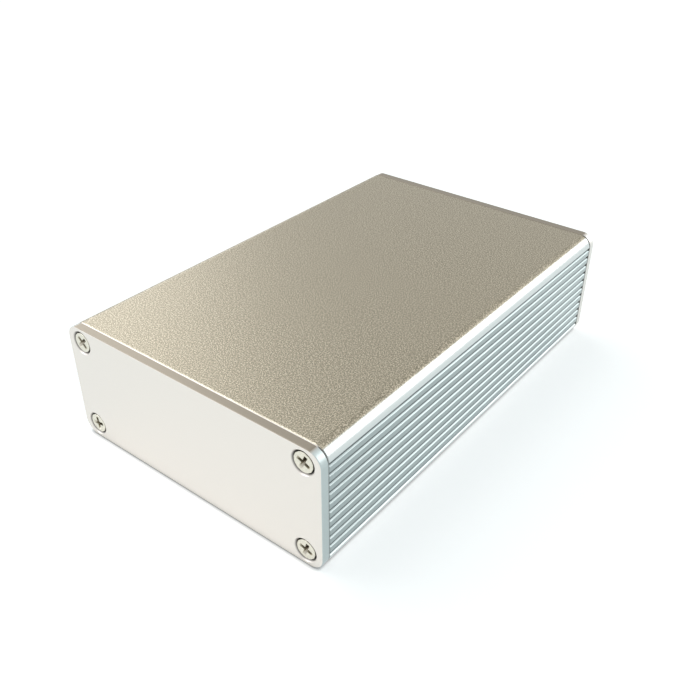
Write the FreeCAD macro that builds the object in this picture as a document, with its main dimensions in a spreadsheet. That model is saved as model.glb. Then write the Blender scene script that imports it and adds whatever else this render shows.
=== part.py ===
import FreeCAD, Part
import math
import os

import Sketcher

# Extruded aluminium instrument case: one ribbed tube, an end panel at each end, and four
# countersunk screws in each panel. Millimetres, +Z up, the front panel faces -Y. The origin is
# the middle of the footprint, on the surface that the case stands on.

SIZES = (
    ("case_width", 66.0, "outer width of the extrusion"),
    ("case_height", 27.0, "outer height of the extrusion"),
    ("case_length", 100.0, "cut length of the extrusion, without the panels"),
    ("corner_radius", 3.0, "outer corners of the extrusion and of the panels"),
    ("side_wall", 2.0, "side wall, measured over the ribs"),
    ("flat_wall", 1.5, "top wall and bottom wall"),
    ("end_chamfer", 0.25, "broken outer edge at both cut ends of the extrusion"),
    ("rib_pitch", 2.08, "spacing of the grooves that leave the side ribs"),
    ("groove_width", 0.95, "width of a side groove at its mouth"),
    ("groove_depth", 0.3, "depth of a side groove"),
    ("groove_shoulder", 0.22, "height of the sloping shoulder on each side of a groove"),
    ("board_slot", 1.8, "gap between a pair of guide rails, for a 1.6 mm board"),
    ("board_slot_level", 9.5, "middle of the lower board slot above the base"),
    ("rail_thickness", 1.2, "thickness of a guide rail"),
    ("rail_reach", 1.8, "how far a guide rail stands out from the side wall"),
    ("rail_tip_bevel", 0.25, "bevel along both edges of a rail's tip"),
    ("port_side_inset", 4.0, "screw axis to the side of the case"),
    ("port_flat_inset", 3.3, "screw axis to the top or the bottom of the case"),
    ("port_wall", 1.3, "wall of a screw port round its bore"),
    ("port_slit", 1.2, "open slit of a screw port, which faces the cavity"),
    ("panel_thickness", 2.0, "end panel"),
    ("panel_chamfer", 0.2, "broken edge round the outer face of a panel"),
    ("countersink_mouth", 5.2, "diameter of a countersink at the panel's face"),
    ("countersink_angle", 90.0, "included angle of a countersink and of a screw's head"),
    ("thread_diameter", 2.6, "outer diameter of a screw's thread"),
    ("panel_hole_play", 0.3, "panel hole over the thread, on the diameter"),
    ("port_play", 0.1, "screw port over the thread, on the diameter"),
    ("head_diameter", 4.3, "screw head"),
    ("head_rim", 0.3, "straight rim of the screw head, above its cone"),
    ("screw_length", 8.0, "whole length of a screw, with its head"),
    ("screw_end_bevel", 0.3, "bevel at the blunt end of a screw"),
    ("recess_span", 2.6, "cross recess over two wings, at the top"),
    ("recess_floor_span", 1.3, "cross recess over two wings, at its floor"),
    ("recess_slot", 0.65, "width of a wing of the recess"),
    ("recess_depth", 1.2, "depth of the cross recess"),
)

# A slack that keeps a whole number whole when a length is divided by a pitch
COUNT_SLACK = 0.001

# The port's slit looks at the middle of the cavity from the upper right corner, in degrees
SLIT_DIRECTION = 225.0

# The recess is one slot cut twice, the second time square to the first
RIGHT_ANGLE = 90.0

# Each screw stops with its cross at its own angle, in degrees from upright, seen on its head
SCREW_TURNS = {
    "front": {"upper_left": 45.0, "lower_left": 8.0, "upper_right": 66.0, "lower_right": 72.0},
    "rear": {"upper_left": 31.0, "lower_left": 77.0, "upper_right": 12.0, "lower_right": 54.0},
}
ENDS = {"front": -1, "rear": 1}
SIDES = {"left": -1, "right": 1}
LEVELS = {"lower": -1, "upper": 1}

doc = FreeCAD.newDocument("extruded_enclosure")
sheet = doc.addObject("Spreadsheet::Sheet", "Sizes")
for row, (alias, number, meaning) in enumerate(SIZES, start=1):
    sheet.set(f"A{row}", alias)
    sheet.set(f"B{row}", str(number))
    sheet.set(f"C{row}", meaning)
    sheet.setAlias(f"B{row}", alias)
doc.recompute()


class Size:
    """A length or an angle that knows its number and the sheet's expression for it."""

    def __init__(self, number, text):
        self.number = float(number)
        self.text = text

    def combine(self, other, sign, number):
        text = other.text if isinstance(other, Size) else repr(other)
        return Size(number, f"({self.text} {sign} {text})")

    def __add__(self, other):
        return self.combine(other, "+", self.number + plain(other))

    def __sub__(self, other):
        return self.combine(other, "-", self.number - plain(other))

    def __mul__(self, other):
        return self.combine(other, "*", self.number * plain(other))

    def __truediv__(self, other):
        return self.combine(other, "/", self.number / plain(other))

    def __neg__(self):
        return self * -1


def plain(size):
    """The number of a Size, or the number itself."""
    return size.number if isinstance(size, Size) else float(size)


def tangent(angle):
    """The tangent of an angle in degrees."""
    return Size(math.tan(math.radians(angle.number)), f"tan({angle.text} * 1 deg)")


def whole(count):
    """A count rounded down."""
    return Size(math.floor(count.number), f"floor({count.text})")


ZERO = Size(0, "0")
sizes = {alias: Size(sheet.get(alias), f"Sizes.{alias}") for alias, _, _ in SIZES}

HALF_WIDTH = sizes["case_width"] / 2
HALF_HEIGHT = sizes["case_height"] / 2
HALF_LENGTH = sizes["case_length"] / 2
WALL_FACE = HALF_WIDTH - sizes["side_wall"]
PORT_X = HALF_WIDTH - sizes["port_side_inset"]
PORT_Z = HALF_HEIGHT - sizes["port_flat_inset"]
PORT_BORE = sizes["thread_diameter"] + sizes["port_play"]
PORT_OUTER_RADIUS = PORT_BORE / 2 + sizes["port_wall"]
CONE_SLOPE = tangent(sizes["countersink_angle"] / 2)


# Sketch tools


def origin_of(body, role):
    """The plane or axis of a body's own origin."""
    return next(item for item in body.Origin.OriginFeatures if item.Role == role)


def new_body(name):
    body = doc.addObject("PartDesign::Body", name)
    body.Label = name
    return body


def new_sketch(body, name, role, x=ZERO, y=ZERO, z=ZERO, turn=0.0):
    """A sketch on one of the body's planes, moved and turned within that plane."""
    sketch = body.newObject("Sketcher::SketchObject", f"{body.Name}_{name}")
    sketch.AttachmentSupport = (origin_of(body, role), "")
    sketch.MapMode = "FlatFace"
    place = FreeCAD.Vector(x.number, y.number, z.number)
    spin = FreeCAD.Rotation(FreeCAD.Vector(0, 0, 1), turn)
    sketch.AttachmentOffset = FreeCAD.Placement(place, spin)
    for key, size in (("x", x), ("y", y), ("z", z)):
        if size is not ZERO:
            sketch.setExpression(f".AttachmentOffset.Base.{key}", size.text)
    return sketch


def bind(sketch, kind, where, length):
    """Adds one dimension to a sketch and binds it to the sheet."""
    index = sketch.addConstraint(Sketcher.Constraint(kind, *where, length.number))
    sketch.setExpression(f"Constraints[{index}]", length.text)


def pin(sketch, geometry, point, x, y):
    """Holds a sketch point at a bound place; a zero puts it on the sketch's own axis."""
    for kind, size, axis in (("DistanceX", x, -2), ("DistanceY", y, -1)):
        if size is ZERO:
            sketch.addConstraint(Sketcher.Constraint("PointOnObject", geometry, point, axis))
        else:
            bind(sketch, kind, (-1, 1, geometry, point), size)


def draw_circle(sketch, x, y, radius):
    centre = FreeCAD.Vector(x.number, y.number, 0)
    index = sketch.addGeometry(Part.Circle(centre, FreeCAD.Vector(0, 0, 1), radius.number), False)
    pin(sketch, index, 3, x, y)
    bind(sketch, "Radius", (index,), radius)


def unit_step(start, end):
    """The direction from one corner to the next."""
    step = FreeCAD.Vector(end[0].number - start[0].number, end[1].number - start[1].number, 0)
    return step.normalize()


def draw_outline(sketch, corners):
    """A closed outline through corners (x, y) or, where it is rounded, (x, y, radius).

    The corners run anticlockwise. A rounded corner joins a level edge and an upright edge,
    so its arc's centre lies one radius from the corner along both.
    """
    count = len(corners)
    entries = []
    for index, corner in enumerate(corners):
        before = unit_step(corners[index - 1], corner)
        after = unit_step(corner, corners[(index + 1) % count])
        point = FreeCAD.Vector(corner[0].number, corner[1].number, 0)
        if len(corner) == 2:
            entries.append({"corner": corner, "start": point, "end": point})
            continue
        radius = corner[2]
        inward = after - before
        entries.append(
            {
                "corner": corner,
                "start": point - before * radius.number,
                "end": point + after * radius.number,
                "centre": (
                    corner[0] + radius * round(inward.x),
                    corner[1] + radius * round(inward.y),
                ),
                "left_turn": before.cross(after).z > 0,
            }
        )
    lines = []
    for index, entry in enumerate(entries):
        following = entries[(index + 1) % count]
        line = Part.LineSegment(entry["end"], following["start"])
        lines.append(sketch.addGeometry(line, False))
    for index, entry in enumerate(entries):
        incoming = lines[index - 1]
        outgoing = lines[index]
        if "centre" not in entry:
            sketch.addConstraint(Sketcher.Constraint("Coincident", incoming, 2, outgoing, 1))
            pin(sketch, outgoing, 1, entry["corner"][0], entry["corner"][1])
            continue
        x, y = entry["centre"]
        centre = FreeCAD.Vector(x.number, y.number, 0)
        radius = entry["corner"][2]
        circle = Part.Circle(centre, FreeCAD.Vector(0, 0, 1), radius.number)
        first, last = (entry["start"], entry["end"])
        if not entry["left_turn"]:
            first, last = last, first
        angles = [math.atan2(p.y - centre.y, p.x - centre.x) for p in (first, last)]
        arc = sketch.addGeometry(Part.ArcOfCircle(circle, *angles), False)
        at_start, at_end = (1, 2) if entry["left_turn"] else (2, 1)
        sketch.addConstraint(Sketcher.Constraint("Tangent", incoming, 2, arc, at_start))
        sketch.addConstraint(Sketcher.Constraint("Tangent", outgoing, 1, arc, at_end))
        pin(sketch, arc, 3, x, y)
        bind(sketch, "Radius", (arc,), radius)


def draw_rounded_rectangle(sketch, half_width, half_height, radius):
    draw_outline(
        sketch,
        [
            (half_width, half_height, radius),
            (-half_width, half_height, radius),
            (-half_width, -half_height, radius),
            (half_width, -half_height, radius),
        ],
    )


# Feature tools


def new_feature(body, kind, name, profile=None):
    feature = body.newObject(f"PartDesign::{kind}", f"{body.Name}_{name}")
    if profile is not None:
        feature.Profile = profile
    return feature


def pad_both_ways(body, name, sketch, length):
    """A pad that runs half its length to each side of its sketch."""
    pad = new_feature(body, "Pad", name, sketch)
    pad.SideType = "Symmetric"
    pad.setExpression("Length", length.text)
    return pad


def pocket_through(body, name, sketch):
    """A pocket right through the body, to both sides of its sketch."""
    pocket = new_feature(body, "Pocket", name, sketch)
    pocket.SideType = "Symmetric"
    pocket.Type = "ThroughAll"
    return pocket


def mirror(body, name, role):
    flip = new_feature(body, "Mirrored", name)
    flip.MirrorPlane = (origin_of(body, role), [""])
    return flip


def repeat(body, name, originals, transforms):
    """Repeats features by a chain of mirrors and patterns."""
    group = new_feature(body, "MultiTransform", name)
    group.Originals = originals
    group.Transformations = transforms
    body.Tip = group
    return group


def chamfer_end_edges(body, name, base, levels, size):
    """Breaks the edges of the base that lie flat at one of the given levels along Y."""
    doc.recompute()
    names = []
    for index, edge in enumerate(base.Shape.Edges, start=1):
        box = edge.BoundBox
        if any(abs(box.YMin - y) < 1e-6 and abs(box.YMax - y) < 1e-6 for y in levels):
            names.append(f"Edge{index}")
    chamfer = new_feature(body, "Chamfer", name)
    chamfer.Base = (base, names)
    chamfer.setExpression("Size", size.text)
    return chamfer


def place(body, x, y, z, rotation):
    body.Placement = FreeCAD.Placement(FreeCAD.Vector(x.number, y.number, z.number), rotation)
    for key, size in (("x", x), ("y", y), ("z", z)):
        if size is not ZERO:
            body.setExpression(f".Placement.Base.{key}", size.text)


# Extrusion: a tube with ribbed sides, four screw ports and four pairs of guide rails


def make_extrusion():
    body = new_body("extruded_body")

    outer = new_sketch(body, "outer_section", "XZ_Plane")
    draw_rounded_rectangle(outer, HALF_WIDTH, HALF_HEIGHT, sizes["corner_radius"])
    bar = pad_both_ways(body, "bar", outer, sizes["case_length"])
    ends = (-HALF_LENGTH.number, HALF_LENGTH.number)
    chamfer_end_edges(body, "broken_ends", bar, ends, sizes["end_chamfer"])

    inner = new_sketch(body, "cavity_section", "XZ_Plane")
    ceiling = HALF_HEIGHT - sizes["flat_wall"]
    draw_rounded_rectangle(inner, WALL_FACE, ceiling, sizes["corner_radius"] / 2)
    pocket_through(body, "cavity", inner)

    cut_side_grooves(body)
    add_guide_rails(body)
    add_screw_ports(body)
    place(body, ZERO, ZERO, HALF_HEIGHT, FreeCAD.Rotation())
    return body


def cut_side_grooves(body):
    """As many grooves as keep their middle between the corner rounds, in a row on each side.

    Both flanks of a groove slope, so that each rib between two grooves has sloping shoulders.
    """
    flat_side = sizes["case_height"] - sizes["corner_radius"] * 2
    steps = whole(flat_side / sizes["rib_pitch"] + COUNT_SLACK)
    row_length = steps * sizes["rib_pitch"]
    lowest = -(row_length / 2)
    floor_x = HALF_WIDTH - sizes["groove_depth"]
    open_x = HALF_WIDTH + sizes["groove_depth"]
    shoulder = sizes["groove_shoulder"]
    bottom = lowest - sizes["groove_width"] / 2
    top = lowest + sizes["groove_width"] / 2

    section = new_sketch(body, "groove_section", "XZ_Plane")
    draw_outline(
        section,
        [
            (open_x, bottom),
            (open_x, top),
            (HALF_WIDTH, top),
            (floor_x, top - shoulder),
            (floor_x, bottom + shoulder),
            (HALF_WIDTH, bottom),
        ],
    )
    groove = pocket_through(body, "groove", section)
    row = new_feature(body, "LinearPattern", "groove_row")
    row.Direction = (origin_of(body, "Z_Axis"), [""])
    row.setExpression("Length", row_length.text)
    row.setExpression("Occurrences", (steps + 1).text)
    other_side = mirror(body, "groove_mirror", "YZ_Plane")
    repeat(body, "grooves", [groove], [row, other_side])


def add_guide_rails(body):
    """A lower board slot between two rails on each side, and the same again upside down."""
    tip_x = WALL_FACE - sizes["rail_reach"]
    root_x = HALF_WIDTH - sizes["side_wall"] / 2
    slot_z = sizes["board_slot_level"] - HALF_HEIGHT
    slot_bottom = slot_z - sizes["board_slot"] / 2
    slot_top = slot_z + sizes["board_slot"] / 2
    bevel = sizes["rail_tip_bevel"]

    section = new_sketch(body, "rail_section", "XZ_Plane")
    for bottom, top in (
        (slot_bottom - sizes["rail_thickness"], slot_bottom),
        (slot_top, slot_top + sizes["rail_thickness"]),
    ):
        draw_outline(
            section,
            [
                (root_x, bottom),
                (root_x, top),
                (tip_x + bevel, top),
                (tip_x, top - bevel),
                (tip_x, bottom + bevel),
                (tip_x + bevel, bottom),
            ],
        )
    rails = pad_both_ways(body, "rails", section, sizes["case_length"])
    flips = [mirror(body, "rail_mirror_x", "YZ_Plane"), mirror(body, "rail_mirror_z", "XY_Plane")]
    repeat(body, "guide_rails", [rails], flips)


def add_screw_ports(body):
    """Open, C-shaped screw ports, drawn in the upper right corner round the screw's axis."""
    wall = new_sketch(body, "port_wall_section", "XZ_Plane", PORT_X, PORT_Z)
    draw_circle(wall, ZERO, ZERO, PORT_OUTER_RADIUS)
    walls = pad_both_ways(body, "port_wall", wall, sizes["case_length"])

    bore = new_sketch(body, "port_bore_section", "XZ_Plane", PORT_X, PORT_Z)
    draw_circle(bore, ZERO, ZERO, PORT_BORE / 2)
    bores = pocket_through(body, "port_bore", bore)

    slit = new_sketch(
        body, "port_slit_section", "XZ_Plane", PORT_X, PORT_Z, turn=SLIT_DIRECTION
    )
    reach = PORT_OUTER_RADIUS + sizes["port_wall"]
    half_slit = sizes["port_slit"] / 2
    draw_outline(
        slit,
        [(ZERO, -half_slit), (reach, -half_slit), (reach, half_slit), (ZERO, half_slit)],
    )
    slits = pocket_through(body, "port_slit", slit)
    flips = [mirror(body, "port_mirror_x", "YZ_Plane"), mirror(body, "port_mirror_z", "XY_Plane")]
    repeat(body, "screw_ports", [walls, bores, slits], flips)


# End panels: flat plates with the extrusion's outline and four countersunk holes


def make_panel(end):
    body = new_body(f"{end}_panel")

    outline = new_sketch(body, "outline", "XZ_Plane")
    draw_rounded_rectangle(outline, HALF_WIDTH, HALF_HEIGHT, sizes["corner_radius"])
    plate = new_feature(body, "Pad", "plate", outline)
    plate.setExpression("Length", sizes["panel_thickness"].text)
    outer_face = (-sizes["panel_thickness"].number,)
    chamfer_end_edges(body, "broken_edge", plate, outer_face, sizes["panel_chamfer"])

    hole_diameter = sizes["thread_diameter"] + sizes["panel_hole_play"]
    centres = new_sketch(body, "hole_centres", "XZ_Plane", z=sizes["panel_thickness"])
    for side in SIDES.values():
        for level in LEVELS.values():
            draw_circle(centres, PORT_X * side, PORT_Z * level, hole_diameter / 2)
    doc.recompute()
    holes = new_feature(body, "Hole", "screw_holes", centres)
    holes.DepthType = "ThroughAll"
    holes.HoleCutType = "Countersink"
    holes.HoleCutCustomValues = True
    holes.setExpression("Diameter", hole_diameter.text)
    holes.setExpression("HoleCutDiameter", sizes["countersink_mouth"].text)
    holes.setExpression("HoleCutCountersinkAngle", sizes["countersink_angle"].text)

    half_turn = FreeCAD.Rotation(FreeCAD.Vector(0, 0, 1), 0 if end == "front" else 180)
    place(body, ZERO, HALF_LENGTH * ENDS[end], HALF_HEIGHT, half_turn)
    return body


# Screws: countersunk heads with a cross recess, drawn upright with the head on top


def make_screw(end, level, side):
    body = new_body(f"{end}_screw_{level}_{side}")
    head_radius = sizes["head_diameter"] / 2
    thread_radius = sizes["thread_diameter"] / 2
    bevel = sizes["screw_end_bevel"]
    cone_length = (head_radius - thread_radius) / CONE_SLOPE

    profile = new_sketch(body, "profile", "XZ_Plane")
    draw_outline(
        profile,
        [
            (ZERO, ZERO),
            (ZERO, -sizes["screw_length"]),
            (thread_radius - bevel, -sizes["screw_length"]),
            (thread_radius, bevel - sizes["screw_length"]),
            (thread_radius, -(sizes["head_rim"] + cone_length)),
            (head_radius, -sizes["head_rim"]),
            (head_radius, ZERO),
        ],
    )
    turned = new_feature(body, "Revolution", "turned", profile)
    turned.ReferenceAxis = (profile, ["V_Axis"])

    wings = new_sketch(body, "recess_wings", "XZ_Plane")
    reach = sizes["recess_span"] / 2
    floor_reach = sizes["recess_floor_span"] / 2
    depth = sizes["recess_depth"]
    draw_outline(
        wings,
        [(reach, ZERO), (-reach, ZERO), (-floor_reach, -depth), (floor_reach, -depth)],
    )
    slot = new_feature(body, "Pocket", "recess_slot", wings)
    slot.SideType = "Symmetric"
    slot.setExpression("Length", sizes["recess_slot"].text)
    doc.recompute()
    cross = new_feature(body, "PolarPattern", "cross_recess")
    cross.Originals = [slot]
    cross.Axis = (origin_of(body, "Z_Axis"), [""])
    cross.Angle = RIGHT_ANGLE
    cross.Occurrences = 2
    body.Tip = cross

    outwards = ENDS[end]
    seat = (sizes["countersink_mouth"] - sizes["head_diameter"]) / 2 / CONE_SLOPE
    head_face = HALF_LENGTH + sizes["panel_thickness"] - seat + sizes["head_rim"]
    lean = FreeCAD.Rotation(FreeCAD.Vector(1, 0, 0), -90 * outwards)
    spin = FreeCAD.Rotation(FreeCAD.Vector(0, 0, 1), SCREW_TURNS[end][f"{level}_{side}"])
    x = PORT_X * SIDES[side]
    z = HALF_HEIGHT + PORT_Z * LEVELS[level]
    place(body, x, head_face * outwards, z, lean.multiply(spin))
    return body


def check_features(body):
    """Stops where a feature failed or where a cut took nothing away."""
    doc.recompute()
    for item in body.Group:
        if "Invalid" in item.State or "Error" in item.State:
            raise RuntimeError(f"{item.Name} failed: {item.State}")
        base = getattr(item, "BaseFeature", None)
        if base is None or item.Shape.isNull() or base.Shape.isNull():
            continue
        cuts = ("Pocket", "Hole", "PolarPattern", "Chamfer")
        if item.TypeId.split("::")[1] in cuts and item.Shape.Volume >= base.Shape.Volume:
            raise RuntimeError(f"{item.Name} took nothing away")
    if body.Shape.isNull() or not body.Shape.isValid():
        raise RuntimeError(f"{body.Name} has no valid solid")
    if len(body.Shape.Solids) != 1:
        raise RuntimeError(f"{body.Name} is {len(body.Shape.Solids)} solids")


bodies = [make_extrusion()]
for end in ENDS:
    bodies.append(make_panel(end))
    for level in LEVELS:
        for side in SIDES:
            bodies.append(make_screw(end, level, side))

for body in bodies:
    check_features(body)

os.makedirs("parts", exist_ok=True)
for body in bodies:
    body.Shape.exportStep(f"parts/{body.Label}.step")
    print(body.Label, round(body.Shape.Volume, 3))
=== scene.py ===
import math

import bpy
import numpy as np
from bpy.props import (
    FloatProperty,
    FloatVectorProperty,
    IntProperty,
    PointerProperty,
)
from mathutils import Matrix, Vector
from mathutils.geometry import tessellate_polygon


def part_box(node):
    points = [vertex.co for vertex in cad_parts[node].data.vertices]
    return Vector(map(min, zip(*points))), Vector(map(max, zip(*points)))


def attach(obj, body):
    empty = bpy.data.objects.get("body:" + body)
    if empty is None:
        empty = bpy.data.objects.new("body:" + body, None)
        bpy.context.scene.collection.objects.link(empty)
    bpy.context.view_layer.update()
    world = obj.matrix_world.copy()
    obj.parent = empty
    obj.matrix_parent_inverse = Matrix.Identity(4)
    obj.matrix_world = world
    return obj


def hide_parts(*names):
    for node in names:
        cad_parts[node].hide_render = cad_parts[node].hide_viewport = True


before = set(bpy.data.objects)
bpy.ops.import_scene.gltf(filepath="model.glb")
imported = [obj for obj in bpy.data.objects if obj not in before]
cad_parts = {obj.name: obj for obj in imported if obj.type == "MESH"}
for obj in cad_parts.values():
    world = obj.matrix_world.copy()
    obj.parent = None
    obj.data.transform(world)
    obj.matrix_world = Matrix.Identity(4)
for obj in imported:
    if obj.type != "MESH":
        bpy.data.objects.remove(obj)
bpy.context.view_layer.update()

bl_info = {
    "name": "Extruded instrument case",
    "version": (1, 0, 0),
    "blender": (4, 5, 0),
    "location": "3D View > Sidebar > Case",
    "description": "Builds the dressed extrusion, end panels, screws and studio of an instrument case",
    "category": "Object",
}

# Millimetres to metres
MM = 0.001

TUBE_LOW, TUBE_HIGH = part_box("extruded_body")
PANEL_LOW, PANEL_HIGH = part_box("front_panel")
SCREW_LOW, SCREW_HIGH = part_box("front_screw_upper_right")

# Where the four screws of a panel sit, seen from the front: name, side and level
SCREW_PLACES = (
    ("lower_left", -1, -1),
    ("lower_right", 1, -1),
    ("upper_left", -1, 1),
    ("upper_right", 1, 1),
)
END_SIGNS = {"front": -1, "rear": 1}

# Faces that meet at more than this angle keep a sharp edge between them
SHARP_ANGLE = math.radians(28)

# How many points make a round of each kind, and how many rings a turn of the thread
GROOVE_POINTS = 7
TUBE_CORNER_POINTS = 20
PLATE_CORNER_POINTS = 10
PORT_POINTS = 12
HOLE_POINTS = 64
EDGE_POINTS = 5
CROSS_POINTS = 5
THREAD_RINGS = 6


def length(name, description, default, **limits):
    """A property that holds a length in metres."""
    return FloatProperty(
        name=name,
        description=description,
        default=default,
        unit="LENGTH",
        subtype="DISTANCE",
        precision=5,
        min=0.0,
        **limits,
    )


def colour(name, description, default):
    """A property that holds a linear colour."""
    return FloatVectorProperty(
        name=name,
        description=description,
        default=default,
        subtype="COLOR",
        size=3,
        min=0.0,
        max=1.0,
    )


def share(name, description, default):
    """A property that holds a value from nought to one."""
    return FloatProperty(
        name=name, description=description, default=default, min=0.0, max=1.0, subtype="FACTOR"
    )


def brightness(name, description, default):
    """A property that holds a brightness, where one is plain white."""
    return FloatProperty(name=name, description=description, default=default, min=0.0)


class ExtrusionSettings(bpy.types.PropertyGroup):
    """Section and finish of the ribbed tube"""

    width: length("Width", "Outer width", TUBE_HIGH.x - TUBE_LOW.x)
    height: length("Height", "Outer height", TUBE_HIGH.z - TUBE_LOW.z)
    depth: length("Length", "Cut length", TUBE_HIGH.y - TUBE_LOW.y)
    corner_radius: length("Corner radius", "Outer corners", 3.0 * MM)
    side_wall: length("Side wall", "Side wall over the ribs", 2.0 * MM)
    flat_wall: length("Flat wall", "Top and bottom wall", 1.5 * MM)
    groove_count: IntProperty(name="Grooves", description="Grooves in a side", default=11, min=1)
    groove_pitch: length("Groove spacing", "From groove to groove", 2.08 * MM)
    groove_mouth: length("Groove mouth", "Width of a groove at the face", 0.95 * MM)
    groove_depth: length("Groove depth", "Depth of a groove", 0.3 * MM)
    groove_shoulder: length("Shoulder", "Height of a rib's sloping shoulder", 0.22 * MM)
    lip_radius: length("Lip radius", "Round where a rib's face meets its shoulder", 0.1 * MM)
    fillet_radius: length("Fillet radius", "Round along a groove's floor", 0.04 * MM)
    end_chamfer: length("End chamfer", "Broken edge of the cut ends", 0.25 * MM)
    port_inset: FloatVectorProperty(
        name="Port inset",
        description="Screw axis to the side and to the top of the case",
        default=(4.0 * MM, 3.3 * MM),
        size=2,
        unit="LENGTH",
        subtype="COORDINATES",
    )
    port_bore: length("Port bore", "Diameter of a screw port", 2.7 * MM)
    port_wall: length("Port wall", "Wall of a screw port", 1.3 * MM)
    port_slit: length("Port slit", "Open slit of a screw port", 1.2 * MM)
    rail_level: length("Rail level", "Middle of a board slot from mid height", 4.0 * MM)
    rail_slot: length("Board slot", "Gap between two rails", 1.8 * MM)
    rail_thickness: length("Rail thickness", "Thickness of a rail", 1.2 * MM)
    rail_reach: length("Rail reach", "How far a rail stands out", 1.8 * MM)
    rail_bevel: length("Rail bevel", "Bevel along a rail's tip", 0.25 * MM)
    flat_colour: colour("Flat faces", "Blasted and anodised faces", (0.219, 0.2, 0.148))
    # The ribs' own anodised tone, with a painted bluish reflection of the shaded floor mixed in
    rib_tone_and_painted_reflection: colour("Ribbed faces", "Drawn and anodised ribs", (0.378, 0.438, 0.44))
    # Painted highlight: a brighter colour on the long rounded corners
    painted_corner_highlight: colour("Corners", "Polished long corners", (0.6, 0.645, 0.64))
    # Painted highlight: a bright colour on the bevels of the cut ends
    painted_bevel_highlight: colour("Bevels", "Bright bevels of the cut ends", (0.62, 0.59, 0.51))
    speck_colour: colour("Specks", "Bright grains of the blasted face", (0.56, 0.508, 0.397))
    # Painted shadow: brightness of a groove's floor
    painted_groove_shadow: share("Groove shade", "Brightness of a groove's floor beside a rib", 0.42)
    # Painted shadow on the ribs' broken ends where they meet the panels
    painted_seam_shadow: share("Seam shade", "Brightness of the ribs' broken ends beside a rib", 0.2)
    cloudiness: share("Clouds", "How far the ribs' tone drifts", 0.05)
    grain_size: length("Grain size", "Size of a blasted grain", 0.27 * MM)
    relief_height: length("Relief height", "Height of a grain at full relief", 0.07 * MM)
    relief: share("Relief", "Relief of the flat faces", 0.5)
    rib_relief: share("Rib relief", "Relief of the drawn faces", 0.12)
    roughness: share("Roughness", "Roughness of the flat faces", 0.38)
    rib_roughness: share("Rib roughness", "Roughness of the drawn faces", 0.28)


class PanelSettings(bpy.types.PropertyGroup):
    """Size and finish of an end panel"""

    thickness: length("Thickness", "Thickness of a panel", PANEL_HIGH.y - PANEL_LOW.y)
    edge: length("Broken edge", "Round along the outer face", 0.2 * MM)
    tick: length("Tick", "Tiny bevel along the inner edge", 0.05 * MM)
    # Band along the inner edge: on the front panel's upper and lower edges it keeps the face colour as
    # a painted highlight
    painted_highlight_band: length("Burnish", "Band along the inner edge, bright on top and below", 0.25 * MM)
    hole: length("Hole", "Diameter of a screw hole", 2.9 * MM)
    countersink: length("Countersink", "Diameter of a countersink at the face", 5.2 * MM)
    seat: length("Seat", "Diameter where a screw's head begins to touch", 4.3 * MM)
    lip: length("Lip", "Tiny bevel round a countersink", 0.04 * MM)
    face_colour: colour("Face", "Fine matte anodised face", (0.78, 0.745, 0.7))
    # Painted shade: the upper and lower edges are darker than the face
    painted_edge_shade: colour("Edge", "Upper and lower edge", (0.265, 0.238, 0.192))
    # Painted reflection: the left and right edges are tinted darker and bluish, like the shaded floor
    # they face
    painted_flank_reflection: colour("Flank", "Left and right edge", (0.48, 0.545, 0.545))
    mottle: share("Mottle", "How far the face's tone varies from grain to grain", 0.03)
    # Painted shadow in the holes and along the seam beside the face
    painted_hole_shadow: share("Hole shade", "Brightness in a hole and in the seam beside the face", 0.1)
    grain_size: length("Grain size", "Size of a grain of the face", MM / 9)
    relief_height: length("Relief height", "Height of a grain at full relief", 0.02 * MM)
    relief: share("Relief", "Relief of the face", 0.15)
    roughness: share("Roughness", "Roughness of the face", 0.42)


class ScrewSettings(bpy.types.PropertyGroup):
    """Size, finish and stopping angles of the screws"""

    head: length("Head", "Diameter of the head", 4.3 * MM)
    rim: length("Rim", "Straight rim of the head", 0.3 * MM)
    head_round: length("Head round", "Round along the head's upper edge", 0.13 * MM)
    thread: length("Thread", "Outer diameter of the thread", 2.6 * MM)
    core: length("Core", "Diameter at the thread's root", 2.0 * MM)
    pitch: length("Pitch", "Rise of the thread in a turn", 0.45 * MM)
    full: length("Length", "Whole length", SCREW_HIGH.y - SCREW_LOW.y)
    end_bevel: length("End bevel", "Bevel at the blunt end", 0.3 * MM)
    below: length("Below the face", "How far the head lies below the panel's face", 0.15 * MM)
    recess_span: length("Recess span", "Cross recess over two wings", 2.95 * MM)
    recess_slot: length("Recess slot", "Width of a wing", 0.7 * MM)
    recess_floor: length("Recess floor", "Span of the recess at its floor", 1.3 * MM)
    recess_depth: length("Recess depth", "Depth of the recess", 1.2 * MM)
    recess_round: length("Recess round", "Round at the corners of the cross", 0.09 * MM)
    recess_brim: length("Recess brim", "Depth of the recess's soft mouth", 0.05 * MM)
    recess_flare: length("Recess flare", "How much wider the recess is at its mouth", 0.16 * MM)
    front_turns: FloatVectorProperty(
        name="Front turns",
        description="Angle of each cross: lower left, lower right, upper left, upper right",
        default=tuple(math.radians(a) for a in (8.0, 72.0, 45.0, 66.0)),
        size=4,
        unit="ROTATION",
    )
    rear_turns: FloatVectorProperty(
        name="Rear turns",
        description="Angle of each cross: lower left, lower right, upper left, upper right",
        default=tuple(math.radians(a) for a in (77.0, 54.0, 31.0, 12.0)),
        size=4,
        unit="ROTATION",
    )
    plating: colour("Plating", "Nickel plating", (0.83, 0.8, 0.69))
    # Painted shadow in the cross recess and round the head's rim
    painted_recess_shadow: colour("Recess", "Recess floor and shade round a head", (0.13, 0.105, 0.07))
    mottle: share("Mottle", "How far the plating's tone varies from grain to grain", 0.2)
    grain_size: length("Grain size", "Size of a grain of the plating", MM / 6)
    relief_height: length("Relief height", "Height of a grain at full relief", 0.02 * MM)
    relief: share("Relief", "Relief of the plating", 0.1)
    roughness: share("Roughness", "Roughness of the plating", 0.28)


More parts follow.
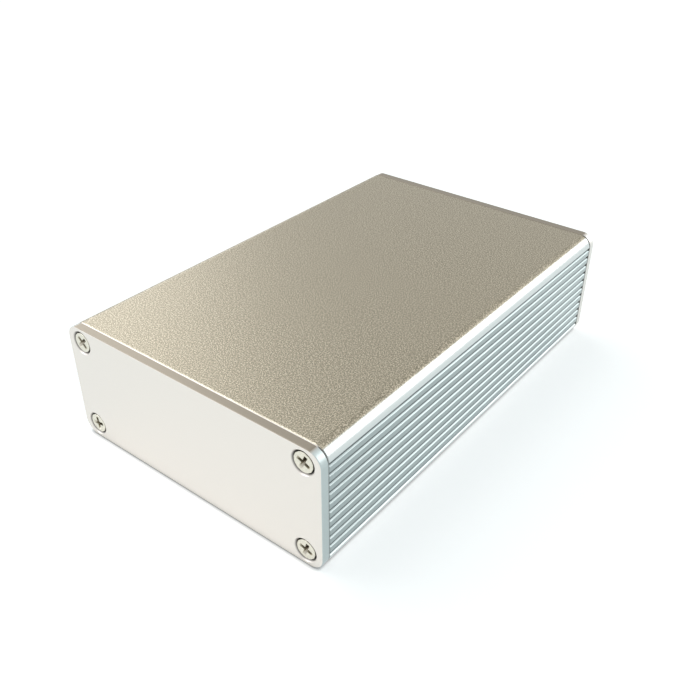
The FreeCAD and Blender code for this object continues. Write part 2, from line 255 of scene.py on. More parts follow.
class StageSettings(bpy.types.PropertyGroup):
    """Camera, floor and lamps"""

    camera_place: FloatVectorProperty(
        name="Camera",
        description="Where the camera stands",
        default=(0.09868, -0.12973, 0.11519),
        size=3,
        unit="LENGTH",
        subtype="TRANSLATION",
    )
    camera_turn: FloatVectorProperty(
        name="Camera turn",
        description="How the camera is turned",
        default=tuple(math.radians(a) for a in (56.4169, -0.3743, 37.9163)),
        size=3,
        unit="ROTATION",
        subtype="EULER",
    )
    lens: FloatProperty(name="Lens", description="Focal length", default=42.993, unit="CAMERA")
    floor_colour: colour("Floor", "Pale floor", (0.85, 0.85, 0.85))
    floor_gap: length("Gap", "How far the floor lies below the case", 0.05 * MM)
    floor_glow: brightness("Floor glow", "Whitens the floor where nothing shades it", 0.53)
    contact: length("Contact shade", "Reach of the shade under the case's edge", 0.8 * MM)
    window: brightness("Window", "Large lamp behind the case, at its right", 2.0)
    wall: brightness("Left wall", "Bright wall at the left of the case", 1.29)
    front: brightness("Front lamp", "Small lamp before the case, at its left", 3.0)
    daylight: brightness("Daylight", "Even light from the upper left", 0.21)
    daylight_tint: colour("Daylight tint", "Colour of the daylight", (1.0, 0.97, 0.93))
    room: brightness("Room", "Light from all round", 0.55)
    room_tint: colour("Room tint", "Colour of the light from all round", (0.88, 0.985, 1.0))


# Shapes as arrays


def unit(vectors):
    """Each vector divided by its own length."""
    return vectors / np.linalg.norm(vectors, axis=-1, keepdims=True)


def fade(values, start, width):
    """Nought up to the start, one beyond start + width, and even in between."""
    return np.clip((values - start) / width, 0, 1)


def round_corners(corners, radii, steps):
    """Every corner of a closed outline becomes an arc.

    With half the corner's angle h and radius r, the arc starts and ends r / tan h from the
    corner, and its centre lies r / sin h along the bisector. Points on it are the spherical
    blend of the two spokes from that centre.
    """
    corners = np.asarray(corners, float)
    radii = np.broadcast_to(np.asarray(radii, float), len(corners))[:, None]
    back = unit(np.roll(corners, 1, axis=0) - corners)
    ahead = unit(np.roll(corners, -1, axis=0) - corners)
    half = np.arccos(np.clip((back * ahead).sum(1), -1, 1))[:, None] / 2
    reach = radii / np.tan(half)
    centre = corners + unit(back + ahead) * radii / np.sin(half)
    first = corners + back * reach - centre
    last = corners + ahead * reach - centre
    sweep = (math.pi - 2 * half)[:, None]
    t = np.linspace(0, 1, steps)[None, :, None]
    spokes = np.sin((1 - t) * sweep) * first[:, None] + np.sin(t * sweep) * last[:, None]
    return (centre[:, None] + spokes / np.sin(sweep)).reshape(-1, 2)


def rounded_rectangle(half_width, half_height, radius, steps):
    """A rectangle with arcs of one radius at its corners, anticlockwise."""
    x, z = half_width, half_height
    return round_corners([(x, -z), (x, z), (-x, z), (-x, -z)], radius, steps)


def arc(centre, radius, start, end, steps):
    """Points centre + radius * (cos a, sin a), with a even between two angles in degrees."""
    angles = np.radians(np.linspace(start, end, steps))
    return np.asarray(centre) + radius * np.column_stack([np.cos(angles), np.sin(angles)])


def along_outline(s, distance):
    """Points and outward normals on the right half of the plain outline.

    Distance is measured along the outline from mid height, upwards where it is positive. Beyond
    the straight part the normal turns by (distance - straight part) / corner radius.
    """
    straight = s.height / 2 - s.corner_radius
    turn = np.clip((np.abs(distance) - straight) / s.corner_radius, 0, math.pi / 2)
    way = np.sign(distance)
    normals = np.column_stack([np.cos(turn), way * np.sin(turn)])
    level = way * np.clip(np.abs(distance), 0, straight)
    centres = np.column_stack([np.full(len(way), s.width / 2 - s.corner_radius), level])
    return centres + s.corner_radius * normals, normals


def tube_outline(s):
    """Plain outline of the tube, its normals, and how deep the grooves are at each point.

    One groove is a trapezoid with rounded lips. It is repeated at the pitch along both sides.
    """
    mouth, depth = s.groove_mouth / 2, s.groove_depth
    floor = mouth - s.groove_shoulder
    # The trapezoid is closed far outside the side, and only its four rounded corners are used
    far = 3 * s.groove_mouth
    trapezoid = [(-far, 0), (-mouth, 0), (-floor, depth), (floor, depth), (mouth, 0), (far, 0)]
    lip, fillet = s.lip_radius, s.fillet_radius
    radii = [0, lip, fillet, fillet, lip, 0, 0]
    rounded = round_corners([*trapezoid, (0, -far)], radii, GROOVE_POINTS)
    groove = rounded[GROOVE_POINTS : 5 * GROOVE_POINTS]
    middle = (np.arange(s.groove_count) - (s.groove_count - 1) / 2) * s.groove_pitch
    row = (middle[:, None] + groove[:, 0]).ravel()
    end = s.height / 2 - s.corner_radius + s.corner_radius * math.pi / 2
    corner = np.linspace(row[-1], end, TUBE_CORNER_POINTS)[1:]
    distance = np.concatenate([-corner[::-1], row, corner])
    flat = np.zeros(len(corner))
    depths = np.concatenate([flat, np.tile(groove[:, 1], s.groove_count), flat])
    points, normals = along_outline(s, distance)
    return np.vstack([points, -points]), np.vstack([normals, -normals]), np.tile(depths, 2)


def screw_axis(side, level, tube):
    """Where a screw's axis crosses the section, seen from the middle of the case."""
    return np.array(
        [
            side * (tube.width / 2 - tube.port_inset[0]),
            level * (tube.height / 2 - tube.port_inset[1]),
        ]
    )


def cavity_outline(s):
    """Inner outline: walls, guide rails and open screw ports, worked out for one quarter.

    The quarter goes up the right wall round two rails, round the port's outer circle to its
    slit, round the bore, back out of the slit and along the outer circle to the ceiling. The
    other three quarters are its mirror images.
    """
    wall = s.width / 2 - s.side_wall
    ceiling = s.height / 2 - s.flat_wall
    axis = screw_axis(1, 1, s)
    bore = s.port_bore / 2
    outer = bore + s.port_wall
    tip = wall - s.rail_reach
    levels = s.rail_level + s.rail_slot / 2 * np.array([-1, 1])
    low, high = levels[0] - s.rail_thickness, levels[1] + s.rail_thickness
    bevel = s.rail_bevel
    rails = np.array(
        [
            corner
            for bottom, top in ((low, levels[0]), (levels[1], high))
            for corner in (
                (wall, bottom),
                (tip + bevel, bottom),
                (tip, bottom + bevel),
                (tip, top - bevel),
                (tip + bevel, top),
                (wall, top),
            )
        ]
    )
    # The slit looks at the middle of the cavity. Angles are degrees round the screw's axis
    slit = 225
    slit_outer = math.degrees(math.asin(s.port_slit / 2 / outer))
    slit_bore = math.degrees(math.asin(s.port_slit / 2 / bore))
    at_wall = -math.degrees(math.acos((wall - axis[0]) / outer))
    at_ceiling = math.degrees(math.acos((ceiling - axis[1]) / outer)) - 270
    port = np.vstack(
        [
            arc(axis, outer, at_wall, slit - 360 + slit_outer, PORT_POINTS),
            arc(axis, bore, slit - 360 + slit_bore, slit - slit_bore, 3 * PORT_POINTS),
            arc(axis, outer, slit - 360 - slit_outer, at_ceiling, PORT_POINTS),
        ]
    )
    quarter = np.vstack([rails, port])
    flip = quarter[::-1]
    return np.vstack([quarter, flip * (-1, 1), -quarter, flip * (1, -1)])


def strip_faces(rows, columns):
    """Quads between each ring of points and the next."""
    ring = np.arange(columns)
    after = (ring + 1) % columns
    row = np.arange(rows - 1)[:, None] * columns
    return np.stack([row + ring, row + columns + ring, row + columns + after, row + after], -1)


def cap_faces(loops, starts, outward):
    """Triangles that fill a flat face between an outer loop and the holes in it."""
    triangles = np.array(tessellate_polygon([[Vector(p) for p in loop] for loop in loops]))
    lookup = np.concatenate([start + np.arange(len(p)) for p, start in zip(loops, starts)])
    points = np.concatenate([np.asarray(loop, float) for loop in loops])
    a, b, c = (points[triangles[:, k]] for k in range(3))
    turned = (np.cross(b - a, c - a) * outward).sum(1) < 0
    triangles[turned] = triangles[turned][:, ::-1]
    return lookup[triangles]


def add_piece(name, points, faces, material, nodes):
    """Makes a closed, smooth piece that stands for CAD nodes and rides on the root body."""
    mesh = bpy.data.meshes.new(name)
    polygons = [face for group in faces for face in group.reshape(-1, group.shape[-1]).tolist()]
    mesh.from_pydata(np.asarray(points).tolist(), [], polygons)
    mesh.validate()
    mesh.shade_smooth()
    mesh.set_sharp_from_angle(angle=SHARP_ANGLE)
    mesh.materials.append(material)
    piece = bpy.data.objects.new(name, mesh)
    bpy.context.scene.collection.objects.link(piece)
    weighted = piece.modifiers.new("Weighted normals", "WEIGHTED_NORMAL")
    weighted.keep_sharp = True
    # Above 50, large faces count for more than small ones
    weighted.weight = 100
    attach(piece, "root")
    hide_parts(*nodes)
    return piece


def store(mesh, name, values):
    """Keeps one number for each point of a mesh."""
    mesh.attributes.new(name, "FLOAT", "POINT").data.foreach_set(
        "value", np.ascontiguousarray(values, np.float32)
    )


# Materials


def link(tree, source, target):
    """Joins an output socket to an input socket."""
    tree.links.new(source, target)


def new_node(tree, kind, **values):
    """A node whose named inputs get values, or links where a socket is given."""
    node = tree.nodes.new(kind)
    for key, value in values.items():
        name = key.replace("_", " ")
        if name not in node.inputs:
            setattr(node, key, value)
        elif isinstance(value, bpy.types.NodeSocket):
            link(tree, value, node.inputs[name])
        else:
            node.inputs[name].default_value = value
    return node


def ramp(tree, factor, stops):
    """A grey ramp between two (place, brightness) stops."""
    node = new_node(tree, "ShaderNodeValToRGB", Fac=factor)
    for element, (place, level) in zip(node.color_ramp.elements, stops):
        element.position = place
        element.color = (level, level, level, 1)
    return node.outputs["Color"]


def mix(tree, factor, first, second):
    """The colour between two colours, each a socket or three numbers."""
    node = new_node(tree, "ShaderNodeMix", data_type="RGBA")
    link(tree, factor, node.inputs[0])
    for index, tone in ((6, first), (7, second)):
        if isinstance(tone, bpy.types.NodeSocket):
            link(tree, tone, node.inputs[index])
        else:
            node.inputs[index].default_value = (*tone, 1)
    return node.outputs[2]


def dimmed(tone, level):
    """A colour at a share of its brightness."""
    return [channel * level for channel in tone]


def mask(tree, name):
    """A mask that is kept at a piece's points."""
    return new_node(tree, "ShaderNodeAttribute", attribute_name=name).outputs["Fac"]


def between(tree, factor, low, high):
    """A number that goes from low to high with a mask."""
    node = new_node(tree, "ShaderNodeMapRange", Value=factor, To_Min=low, To_Max=high)
    return node.outputs["Result"]


def grain_group():
    """Blasted grain: noise of two sizes gives a mask of bright specks and a height.

    Height is coarse noise * (1 - fine share) + fine noise * fine share, and specks are where it
    is high. Clouds are a slow drift, some 26 mm across.
    """
    name = "Blasted grain"
    if name in bpy.data.node_groups:
        return bpy.data.node_groups[name]
    fine_ratio = 2.1
    fine_share = 0.35
    clouds_per_metre = 38.0
    speck_stops = [(0.46, 0.0), (0.62, 1.0)]
    group = bpy.data.node_groups.new(name, "ShaderNodeTree")
    group.interface.new_socket("Grains per metre", in_out="INPUT", socket_type="NodeSocketFloat")
    for output in ("Specks", "Height", "Clouds"):
        group.interface.new_socket(output, in_out="OUTPUT", socket_type="NodeSocketFloat")
    inside = new_node(group, "NodeGroupInput")
    outside = new_node(group, "NodeGroupOutput")
    place = new_node(group, "ShaderNodeTexCoord").outputs["Object"]
    scale = inside.outputs["Grains per metre"]
    coarse = new_node(group, "ShaderNodeTexNoise", Vector=place, Scale=scale, Detail=1.0)
    finer = new_node(group, "ShaderNodeMath", operation="MULTIPLY")
    link(group, scale, finer.inputs[0])
    finer.inputs[1].default_value = fine_ratio
    fine = new_node(
        group, "ShaderNodeTexNoise", Vector=place, Scale=finer.outputs[0], Detail=0.0
    )
    clouds = new_node(
        group, "ShaderNodeTexNoise", Vector=place, Scale=clouds_per_metre, Detail=3.0
    )
    both = new_node(group, "ShaderNodeMix", data_type="FLOAT")
    both.inputs[0].default_value = fine_share
    link(group, coarse.outputs["Fac"], both.inputs[2])
    link(group, fine.outputs["Fac"], both.inputs[3])
    specks = ramp(group, both.outputs[0], speck_stops)
    link(group, specks, outside.inputs["Specks"])
    link(group, both.outputs[0], outside.inputs["Height"])
    link(group, clouds.outputs["Fac"], outside.inputs["Clouds"])
    return group


def place_grain(tree, s):
    """The outputs of the blasted grain at the size that the settings give."""
    grain = new_node(tree, "ShaderNodeGroup", node_tree=grain_group())
    grain.inputs["Grains per metre"].default_value = 1 / s.grain_size
    return grain.outputs


def metal(name):
    """An empty metal material with its tree and its shader."""
    material = bpy.data.materials.new(name)
    material.use_nodes = True
    tree = material.node_tree
    shader = tree.nodes["Principled BSDF"]
    shader.inputs["Metallic"].default_value = 1.0
    return material, tree, shader


def bump(tree, shader, height, strength, distance):
    """Lets a height turn the shader's normal."""
    node = new_node(tree, "ShaderNodeBump", Height=height, Strength=strength, Distance=distance)
    link(tree, node.outputs["Normal"], shader.inputs["Normal"])


def extrusion_material(s):
    """Champagne blasted flats and drawn ribs, with painted highlights on bevels and corners.

    The ribs' tone carries a painted bluish reflection, and they get painted shadow down in the
    grooves and along their broken ends.
    """
    material, tree, shader = metal("Anodised extrusion")
    grain = place_grain(tree, s)
    side = mask(tree, "side")
    flat = mix(tree, grain["Specks"], s.flat_colour, s.speck_colour)
    # Painted highlight on the bevels of the cut ends
    flat = mix(tree, mask(tree, "bevel"), flat, s.painted_bevel_highlight)
    # The ribs' tone carries a painted bluish reflection
    clouded = dimmed(s.rib_tone_and_painted_reflection, 1 - s.cloudiness)
    ribs = mix(tree, grain["Clouds"], clouded, s.rib_tone_and_painted_reflection)
    # Painted highlight on the long rounded corners, by the corner mask
    ribs = mix(tree, mask(tree, "corner"), ribs, s.painted_corner_highlight)
    body = mix(tree, side, flat, ribs)
    # Painted shadow on the grooves' floors
    body = mix(tree, mask(tree, "groove"), body, dimmed(s.rib_tone_and_painted_reflection, s.painted_groove_shadow))
    # Painted shadow on the ribs' broken ends at the seams
    body = mix(tree, mask(tree, "seam"), body, dimmed(s.rib_tone_and_painted_reflection, s.painted_seam_shadow))
    link(tree, body, shader.inputs["Base Color"])
    link(tree, between(tree, side, s.roughness, s.rib_roughness), shader.inputs["Roughness"])
    relief = between(tree, side, s.relief, s.rib_relief)
    bump(tree, shader, grain["Height"], relief, s.relief_height)
    return material


def panel_material(s):
    """Fine matte silver face, with painted shade above and below, a painted reflection on the flanks,
    and painted shadow in the holes and in the seam.
    """
    material, tree, shader = metal("Matte panel")
    grain = place_grain(tree, s)
    face = mix(tree, grain["Specks"], dimmed(s.face_colour, 1 - s.mottle), s.face_colour)
    # Painted reflection on the flanks
    body = mix(tree, mask(tree, "flank"), face, s.painted_flank_reflection)
    # Painted shade on the upper and lower edges
    body = mix(tree, mask(tree, "rim"), body, s.painted_edge_shade)
    # Painted shadow in the holes and at the seam, by the deep mask
    body = mix(tree, mask(tree, "deep"), body, dimmed(s.face_colour, s.painted_hole_shadow))
    link(tree, body, shader.inputs["Base Color"])
    shader.inputs["Roughness"].default_value = s.roughness
    bump(tree, shader, grain["Height"], s.relief, s.relief_height)
    return material


def screw_material(s):
    """Nickel plating with a faint grain, with painted shadow down in the recess and round the head."""
    material, tree, shader = metal("Nickel plating")
    grain = place_grain(tree, s)
    body = mix(tree, grain["Specks"], dimmed(s.plating, 1 - s.mottle), s.plating)
    # Painted shadow in the recess and round the head
    body = mix(tree, mask(tree, "deep"), body, s.painted_recess_shadow)
    link(tree, body, shader.inputs["Base Color"])
    shader.inputs["Roughness"].default_value = s.roughness
    bump(tree, shader, grain["Height"], s.relief, s.relief_height)
    return material


# Pieces


def build_tube(s):
    """The outlines of tube and cavity are carried along Y from end to end.

    The outer one is the plain outline less normal * depth. At the cut ends the depth grows by
    the chamfer, less the spared share of it at a groove's floor. Lean is the upward part of a
    normal: the painted corner highlight begins where it is small, and the side's finish ends
    where it is large. The groove's mask of painted shadow is (depth / groove depth) to the fourth
    power.
    """
    plain, normals, depth = tube_outline(s)
    inner = cavity_outline(s)
    middle, half, c = s.height / 2, s.depth / 2, s.end_chamfer
    spared = 0.625
    cut = depth + c * (1 - spared * depth / s.groove_depth)
    stations = ((-half, cut), (-half + c, depth), (half - c, depth), (half, cut))
    rings = [plain - normals * d[:, None] for _, d in stations]
    levels = [y for y, _ in stations]
    loops = [*zip(levels, rings), (-half, inner), (half, inner)]
    solid = [np.column_stack([p[:, 0], np.full(len(p), y), p[:, 1] + middle]) for y, p in loops]
    n, m = len(plain), len(inner)
    start = len(stations) * n
    faces = [
        strip_faces(len(stations), n),
        start + strip_faces(2, m)[..., ::-1],
        cap_faces([solid[0], solid[4]], [0, start], (0, -1, 0)),
        cap_faces([solid[3], solid[5]], [3 * n, start + m], (0, 1, 0)),
    ]
    material = extrusion_material(s)
    piece = add_piece("tube", np.vstack(solid), faces, material, ["extruded_body"])
    lean = np.abs(normals[:, 1])
    # The corner mask for the painted highlight starts where a normal leans a little upward
    highlight_start, side_end, blend = 0.07, 0.81, 0.06
    corner = fade(lean, highlight_start, blend)
    side = 1 - fade(lean, side_end, blend)
    floor = (depth / s.groove_depth) ** 4
    none = np.zeros(n)
    # Masks: painted shadow in the grooves and at the seams, painted highlight on bevels and corners,
    # and the side's finish
    masks = {
        "side": (side, side, side, side),
        "groove": (floor, floor, floor, floor),
        "seam": (side, none, none, side),
        "bevel": (1 - side, none, none, 1 - side),
        "corner": (corner, corner, corner, corner),
    }
    inside = np.zeros(2 * m)
    for name, values in masks.items():
        store(piece.data, name, np.concatenate([*values, inside]))
    return piece


class ENCLOSURE_OT_tube(bpy.types.Operator):
    """Build the ribbed tube"""

    bl_idname = "enclosure.tube"
    bl_label = "Ribbed Tube"

    def execute(self, context):
        build_tube(context.scene.case_extrusion)
        return {"FINISHED"}


def rim_profile(s):
    """How far each ring of a panel's rim is set in, and its height over the inner face.

    A tiny bevel and the band of painted highlight and painted seam shadow come first. The outer
    edge is a quarter circle, with inset = edge * (1 - cos a) and height = thickness - edge + edge *
    sin a.
    """
    bend = np.radians(np.linspace(0, 90, EDGE_POINTS))
    insets = np.concatenate([[s.tick, 0, 0, 0], s.edge * (1 - np.cos(bend))])
    inner = [0, s.tick, s.painted_highlight_band - s.tick, s.painted_highlight_band]
    return insets, np.concatenate([inner, s.thickness - s.edge + s.edge * np.sin(bend)])


def rim_masks(end, s, outline, heights):
    """The rim's masks at each point, one row each: painted shade on the upper and lower edge,
    painted reflection on the flanks, and painted shadow at the seam.

    Where the outline runs across the width it is the upper or the lower edge, and elsewhere a
    flank. The painted seam shadow on the flanks grows towards the corners.
    """
    step = np.abs(np.gradient(outline, axis=0))
    across = step[:, 0] / step.sum(1)
    flank_end, blend = 0.72, 0.1
    level = fade(across, flank_end, blend)
    heights = heights[:, None]
    banded = heights < s.painted_highlight_band - s.tick / 2
    # The last tenth of the round edge's height belongs to the face
    face_share = 0.1
    sheared = heights < s.thickness - s.edge * face_share
    # Only the front panel's band keeps the bright face colour as a painted highlight, and the rear
    # one's flanks get less painted reflection
    dark = sheared & ~banded if end == "front" else sheared
    # The rear panel's flanks get less of the painted reflection
    painted_reflection_share = {"front": 1.0, "rear": 0.3}[end]
    # Painted seam shadow on the flanks' band, growing towards the corners
    least, growth = 0.5, 1.2
    seam = np.clip(least + growth * across, 0, 1)
    # Rows: painted shade on the upper and lower edges, painted reflection on the flanks, painted seam
    # shadow
    rows = (dark * level, sheared * (1 - level) * painted_reflection_share, banded * (1 - level) * seam)
    return np.array([row.ravel() for row in rows])


def hole_profile(s):
    """Radius, height and painted shadow of each ring of a countersunk hole, from its mouth inwards."""
    mouth, hole = s.countersink / 2, s.hole / 2
    seat = mouth - s.seat / 2
    # The cone is bright at its lip and gets painted shadow before it reaches the screw's seat
    bright_share, lip_shade, cone_shade = 0.45, 0.08, 0.8
    shaded = seat * bright_share
    radii = [mouth + s.lip, mouth, mouth - shaded, mouth - seat, hole, hole]
    depths = [0, s.lip, s.lip + shaded, s.lip + seat, s.lip + mouth - hole, s.thickness]
    shades = [0, lip_shade, cone_shade, 1, 1, 1]
    return np.array(radii), s.thickness - np.array(depths), np.array(shades)


def build_panel(end, s, tube, material):
    """A plate: its rim profile is carried round the outline and each hole's round its centre."""
    half = np.array([tube.width / 2, tube.height / 2])
    insets, heights = rim_profile(s)
    radius = tube.corner_radius
    loops = np.array(
        [rounded_rectangle(*(half - d), radius - d, PLATE_CORNER_POINTS) for d in insets]
    )
    count = loops.shape[1]
    points = [np.column_stack([loops.reshape(-1, 2), np.repeat(heights, count)])]
    faces = [strip_faces(len(insets), count)[..., ::-1]]
    masks = [rim_masks(end, s, loops[0], heights)]
    sizes, outer, inner = [count], [(len(insets) - 1) * count], [0]
    radii, levels, shades = hole_profile(s)
    ring = arc((0, 0), 1, 0, 360, HOLE_POINTS + 1)[:-1]
    total = len(points[0])
    for _, side, level in SCREW_PLACES:
        circles = screw_axis(side, level, tube) + radii[:, None, None] * ring
        points.append(
            np.column_stack([circles.reshape(-1, 2), np.repeat(levels, len(ring))])
        )
        faces.append(total + strip_faces(len(radii), len(ring))[..., ::-1])
        # The holes' rings carry painted shadow in the deep mask
        shade = np.repeat(shades, len(ring))
        masks.append(np.array([0 * shade, 0 * shade, shade]))
        outer.append(total)
        total += len(shade)
        inner.append(total - len(ring))
        sizes.append(len(ring))
    local = np.vstack(points)
    for starts, outward in ((outer, (0, 0, 1)), (inner, (0, 0, -1))):
        rounds = [local[first : first + size] for first, size in zip(starts, sizes)]
        faces.append(cap_faces(rounds, starts, outward))
    sign = END_SIGNS[end]
    solid = np.column_stack(
        [-sign * local[:, 0], sign * (tube.depth / 2 + local[:, 2]), local[:, 1] + half[1]]
    )
    piece = add_piece(f"{end}_plate", solid, faces, material, [f"{end}_panel"])
    for name, values in zip(("rim", "flank", "deep"), np.hstack(masks)):
        store(piece.data, name, values)
    return piece


class ENCLOSURE_OT_panels(bpy.types.Operator):
    """Build both end panels"""

    bl_idname = "enclosure.panels"
    bl_label = "End Panels"

    def execute(self, context):
        scene = context.scene
        material = panel_material(scene.case_panel)
        for end in END_SIGNS:
            build_panel(end, scene.case_panel, scene.case_extrusion, material)
        return {"FINISHED"}


def cross_outline(span, slot, radius):
    """A cross of two bars, with a small round at each of its twelve corners."""
    far, near = span / 2, slot / 2
    quarter = np.array([(far, -near), (far, near), (near, near)])
    turns = [np.array([[c, s], [-s, c]]) for c, s in ((1, 0), (0, 1), (-1, 0), (0, -1))]
    return round_corners(np.vstack([quarter @ turn for turn in turns]), radius, CROSS_POINTS)


def recess_rings(s):
    """Rings (outline, height) up the recess: a point, its floor, its flanks and its soft mouth."""
    brim, flare, depth = s.recess_brim, s.recess_flare, s.recess_depth
    # The wings are narrower at the floor, which dips to a small point in the middle
    narrowing, point, dip = 0.6, 0.02, 1.08
    floor = cross_outline(s.recess_floor, s.recess_slot * narrowing, brim)
    top = cross_outline(s.recess_span, s.recess_slot, s.recess_round)
    mouth = cross_outline(s.recess_span + flare, s.recess_slot + flare, s.recess_round + brim)
    return [(floor * point, -depth * dip), (floor, -depth), (top, -brim), (mouth, 0.0)]


def shank_rings(s, angles):
    """Rings (radius at each angle, height) from the head's rim down the threaded shank.

    The radius is core + (thread - core) * |2 * fraction(z / pitch - angle / turn) - 1|.
    """
    head, thread, core = s.head / 2, s.thread / 2, s.core / 2
    cone_end = -(s.rim + head - thread)
    shank_end = -s.full + s.end_bevel
    # The thread begins a little below the cone, and the blunt end closes on a small patch
    run_in, patch = 0.1 * MM, 0.02 * MM
    count = int((cone_end - shank_end) / s.pitch * THREAD_RINGS)
    heights = np.linspace(cone_end - run_in, shank_end, count)
    phase = (heights[:, None] / s.pitch - angles / (2 * math.pi)) % 1.0
    radii = thread - (thread - core) * (1 - np.abs(2 * phase - 1))
    whole = np.ones(len(angles))
    start = [(head * whole, -s.rim), (thread * whole, cone_end)]
    return [*start, *zip(radii, heights), (core * whole, -s.full), (patch * whole, -s.full)]


def build_screw(end, name, side, level, turn, s, tube, material):
    """Rings from the recess's floor out over the head and down the shank to the blunt end.

    All rings have as many points as the cross, and outside it they lie at the angles of its
    mouth. The head's upper edge is a quarter circle. Heights are measured from the head's top.
    """
    recess = recess_rings(s)
    mouth = recess[-1][0]
    angles = np.arctan2(mouth[:, 1], mouth[:, 0])
    around = np.column_stack([np.cos(angles), np.sin(angles)])
    soft = s.head_round
    inset = s.head / 2 - soft
    bend = np.radians(np.linspace(0, 90, EDGE_POINTS))
    head = [(around * (inset + soft * math.sin(b)), soft * math.cos(b) - soft) for b in bend]
    shank = [(around * radius[:, None], z) for radius, z in shank_rings(s, angles)]
    rings = recess + head + shank
    flat = np.array([np.column_stack([p, np.full(len(p), z)]) for p, z in rings])
    count = flat.shape[1]
    last = (len(rings) - 1) * count
    faces = [
        strip_faces(len(rings), count),
        np.arange(count)[None],
        (last + np.arange(count))[None, ::-1],
    ]
    local = flat.reshape(-1, 3)
    c, k = math.cos(turn), math.sin(turn)
    x, y = (local[:, :2] @ np.array([[c, k], [-k, c]])).T
    sign = END_SIGNS[end]
    centre = screw_axis(side, level, tube)
    face = abs(PANEL_LOW.y) - s.below
    points = np.column_stack(
        [centre[0] + x, sign * (face + local[:, 2]), tube.height / 2 + centre[1] - sign * y]
    )
    node = f"{end}_screw_{name}"
    piece = add_piece(f"{node}_dressed", points, faces, material, [node])
    depth = -flat[..., 2]
    # The painted shadow is full a little above the recess's floor, and halfway down the head's rim
    recess_gain, rim_gain = 1.3, 2
    inside = np.clip(recess_gain * depth / s.recess_depth, 0, 1) ** 0.5
    outside = np.clip(rim_gain * depth / s.rim, 0, 1)
    in_recess = np.arange(len(rings))[:, None] < len(recess)
    store(piece.data, "deep", np.where(in_recess, inside, outside).ravel())
    return piece


class ENCLOSURE_OT_screws(bpy.types.Operator):
    """Build the eight countersunk screws"""

    bl_idname = "enclosure.screws"
    bl_label = "Screws"

    def execute(self, context):
        scene = context.scene
        s = scene.case_screw
        material = screw_material(s)
        for end, turns in (("front", s.front_turns), ("rear", s.rear_turns)):
            for (name, side, level), turn in zip(SCREW_PLACES, turns):
                build_screw(end, name, side, level, turn, s, scene.case_extrusion, material)
        return {"FINISHED"}


# Stage

# Where the lamps stand, how wide and high they are, and which way the daylight falls
WINDOW_PLACE, WINDOW_SIZE = (0.56, 0.63, 0.42), (0.75, 0.5)
WALL_PLACE, WALL_SIZE = (-0.8, -0.13, 0.75), (1.54, 1.1)
WALL_TINT = (1.0, 0.995, 1.02)
FRONT_PLACE, FRONT_SIZE = (-0.39, -0.53, 0.46), (0.25, 0.25)
DAYLIGHT_TOWARDS, DAYLIGHT_SPREAD = (0.68, 0.0, -0.66), math.radians(60)


def add_lamp(name, place, target, size, strength, tint=(1, 1, 1)):
    """A soft rectangular lamp that faces a point and shows in gloss; strength is its brightness."""
    lamp = bpy.data.lights.new(name, "AREA")
    lamp.shape = "RECTANGLE"
    lamp.size, lamp.size_y = size
    # A lamp of power P and area A has a brightness of P / (4 A)
    lamp.energy = strength * 4 * size[0] * size[1]
    lamp.color = tint
    holder = bpy.data.objects.new(name, lamp)
    bpy.context.scene.collection.objects.link(holder)
    holder.location = place
    holder.rotation_euler = (Vector(target) - Vector(place)).to_track_quat("-Z", "Y").to_euler()
    holder.visible_diffuse = False
    return holder


def add_daylight(towards, spread, strength, tint):
    """Even light from one side of the sky, which gives the floor its soft shadow."""
    lamp = bpy.data.lights.new("Daylight", "SUN")
    lamp.angle = spread
    # A surface that faces a sun of strength S and reflects all light has a brightness of S / pi
    lamp.energy = strength * math.pi
    lamp.color = tint
    holder = bpy.data.objects.new("Daylight", lamp)
    bpy.context.scene.collection.objects.link(holder)
    holder.rotation_euler = Vector(towards).to_track_quat("-Z", "Y").to_euler()
    holder.visible_glossy = False
    return holder


def floor_material(s):
    """Pale floor that keeps soft shadows and is white where nothing shades it."""
    material = bpy.data.materials.new("Pale floor")
    material.use_nodes = True
    tree = material.node_tree
    shader = tree.nodes["Principled BSDF"]
    shader.inputs["Roughness"].default_value = 1.0
    shader.inputs["Specular IOR Level"].default_value = 0.0
    for socket, tone in (("Base Color", s.floor_colour), ("Emission Color", (1, 1, 1))):
        near = new_node(tree, "ShaderNodeAmbientOcclusion", Distance=s.contact, Color=(*tone, 1))
        link(tree, near.outputs["Color"], shader.inputs[socket])
    shader.inputs["Emission Strength"].default_value = s.floor_glow
    # The case can be looked at through the floor from below
    side = new_node(tree, "ShaderNodeNewGeometry").outputs["Backfacing"]
    clear = new_node(tree, "ShaderNodeBsdfTransparent")
    both = new_node(tree, "ShaderNodeMixShader", Fac=side)
    link(tree, shader.outputs["BSDF"], both.inputs[1])
    link(tree, clear.outputs["BSDF"], both.inputs[2])
    link(tree, both.outputs["Shader"], tree.nodes["Material Output"].inputs["Surface"])
    return material


def add_floor(s):
    """A square floor just below the case."""
    reach, z = 4.0, TUBE_LOW.z - s.floor_gap
    corners = [(x * reach, y * reach, z) for x, y in ((-1, -1), (1, -1), (1, 1), (-1, 1))]
    mesh = bpy.data.meshes.new("floor")
    mesh.from_pydata(corners, [], [(0, 1, 2, 3)])
    mesh.materials.append(floor_material(s))
    floor = bpy.data.objects.new("floor", mesh)
    bpy.context.scene.collection.objects.link(floor)
    return floor


def add_camera(s):
    """The camera, on a full frame sensor."""
    camera = bpy.data.cameras.new("Camera")
    camera.lens = s.lens
    camera.sensor_width = 36.0
    camera.clip_start = 0.005
    holder = bpy.data.objects.new("Camera", camera)
    bpy.context.scene.collection.objects.link(holder)
    holder.location = s.camera_place
    holder.rotation_euler = s.camera_turn
    return holder


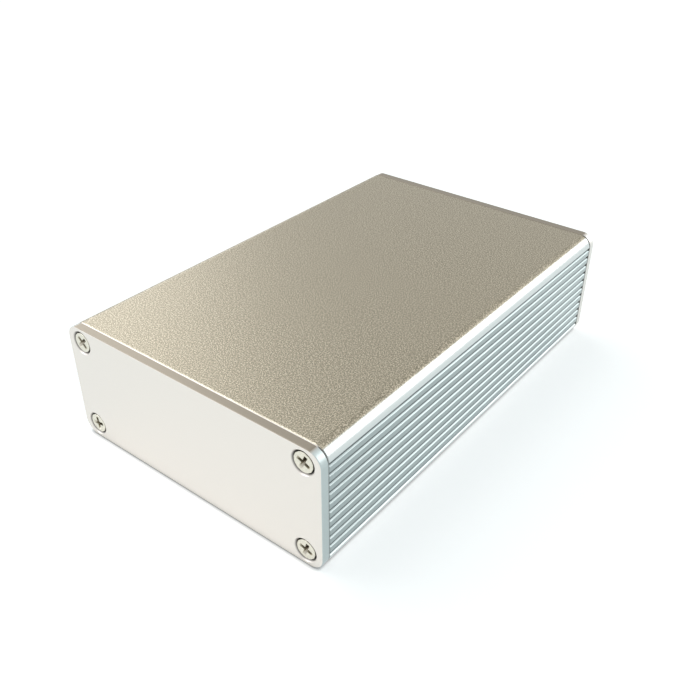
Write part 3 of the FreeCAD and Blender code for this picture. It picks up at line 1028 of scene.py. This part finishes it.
def white_world(tint, strength):
    """Light from all round; the camera and reflections see plain white."""
    world = bpy.data.worlds.new("Studio")
    world.use_nodes = True
    tree = world.node_tree
    tree.nodes.clear()
    rays = new_node(tree, "ShaderNodeLightPath")
    seen = new_node(tree, "ShaderNodeMath", operation="MAXIMUM")
    link(tree, rays.outputs["Is Camera Ray"], seen.inputs[0])
    link(tree, rays.outputs["Is Transmission Ray"], seen.inputs[1])
    shown = new_node(tree, "ShaderNodeMath", operation="MAXIMUM")
    link(tree, seen.outputs[0], shown.inputs[0])
    link(tree, rays.outputs["Is Glossy Ray"], shown.inputs[1])
    room = new_node(tree, "ShaderNodeBackground", Color=(*tint, 1), Strength=strength)
    white = new_node(tree, "ShaderNodeBackground", Color=(1, 1, 1, 1), Strength=1.0)
    both = new_node(tree, "ShaderNodeMixShader")
    link(tree, shown.outputs[0], both.inputs[0])
    link(tree, room.outputs[0], both.inputs[1])
    link(tree, white.outputs[0], both.inputs[2])
    out = new_node(tree, "ShaderNodeOutputWorld")
    link(tree, both.outputs[0], out.inputs["Surface"])
    return world


class ENCLOSURE_OT_stage(bpy.types.Operator):
    """Set up the floor, the lamps and the camera"""

    bl_idname = "enclosure.stage"
    bl_label = "Stage"

    def execute(self, context):
        scene = context.scene
        s = scene.case_stage
        add_floor(s)
        middle = (0, 0, (TUBE_LOW.z + TUBE_HIGH.z) / 2)
        add_lamp("Window", WINDOW_PLACE, middle, WINDOW_SIZE, s.window)
        across = (0, *WALL_PLACE[1:])
        add_lamp("Left wall", WALL_PLACE, across, WALL_SIZE, s.wall, WALL_TINT)
        add_lamp("Front lamp", FRONT_PLACE, middle, FRONT_SIZE, s.front)
        add_daylight(DAYLIGHT_TOWARDS, DAYLIGHT_SPREAD, s.daylight, s.daylight_tint)
        scene.camera = add_camera(s)
        scene.world = white_world(s.room_tint, s.room)
        scene.view_settings.view_transform = "Standard"
        return {"FINISHED"}


class ENCLOSURE_PT_case(bpy.types.Panel):
    """Lists the pieces of the case"""

    bl_label = "Instrument Case"
    bl_idname = "ENCLOSURE_PT_case"
    bl_space_type = "VIEW_3D"
    bl_region_type = "UI"
    bl_category = "Case"

    def draw(self, context):
        for operator in PIECE_OPERATORS:
            self.layout.operator(operator.bl_idname)


SETTINGS = {
    "case_extrusion": ExtrusionSettings,
    "case_panel": PanelSettings,
    "case_screw": ScrewSettings,
    "case_stage": StageSettings,
}
PIECE_OPERATORS = (
    ENCLOSURE_OT_tube,
    ENCLOSURE_OT_panels,
    ENCLOSURE_OT_screws,
    ENCLOSURE_OT_stage,
)


def register():
    for cls in (*SETTINGS.values(), *PIECE_OPERATORS, ENCLOSURE_PT_case):
        bpy.utils.register_class(cls)
    for name, cls in SETTINGS.items():
        setattr(bpy.types.Scene, name, PointerProperty(type=cls))


def unregister():
    for name in SETTINGS:
        delattr(bpy.types.Scene, name)
    for cls in reversed((*SETTINGS.values(), *PIECE_OPERATORS, ENCLOSURE_PT_case)):
        bpy.utils.unregister_class(cls)


def main():
    register()
    bpy.ops.enclosure.tube()
    bpy.ops.enclosure.panels()
    bpy.ops.enclosure.screws()
    bpy.ops.enclosure.stage()


if __name__ == "__main__":
    main()
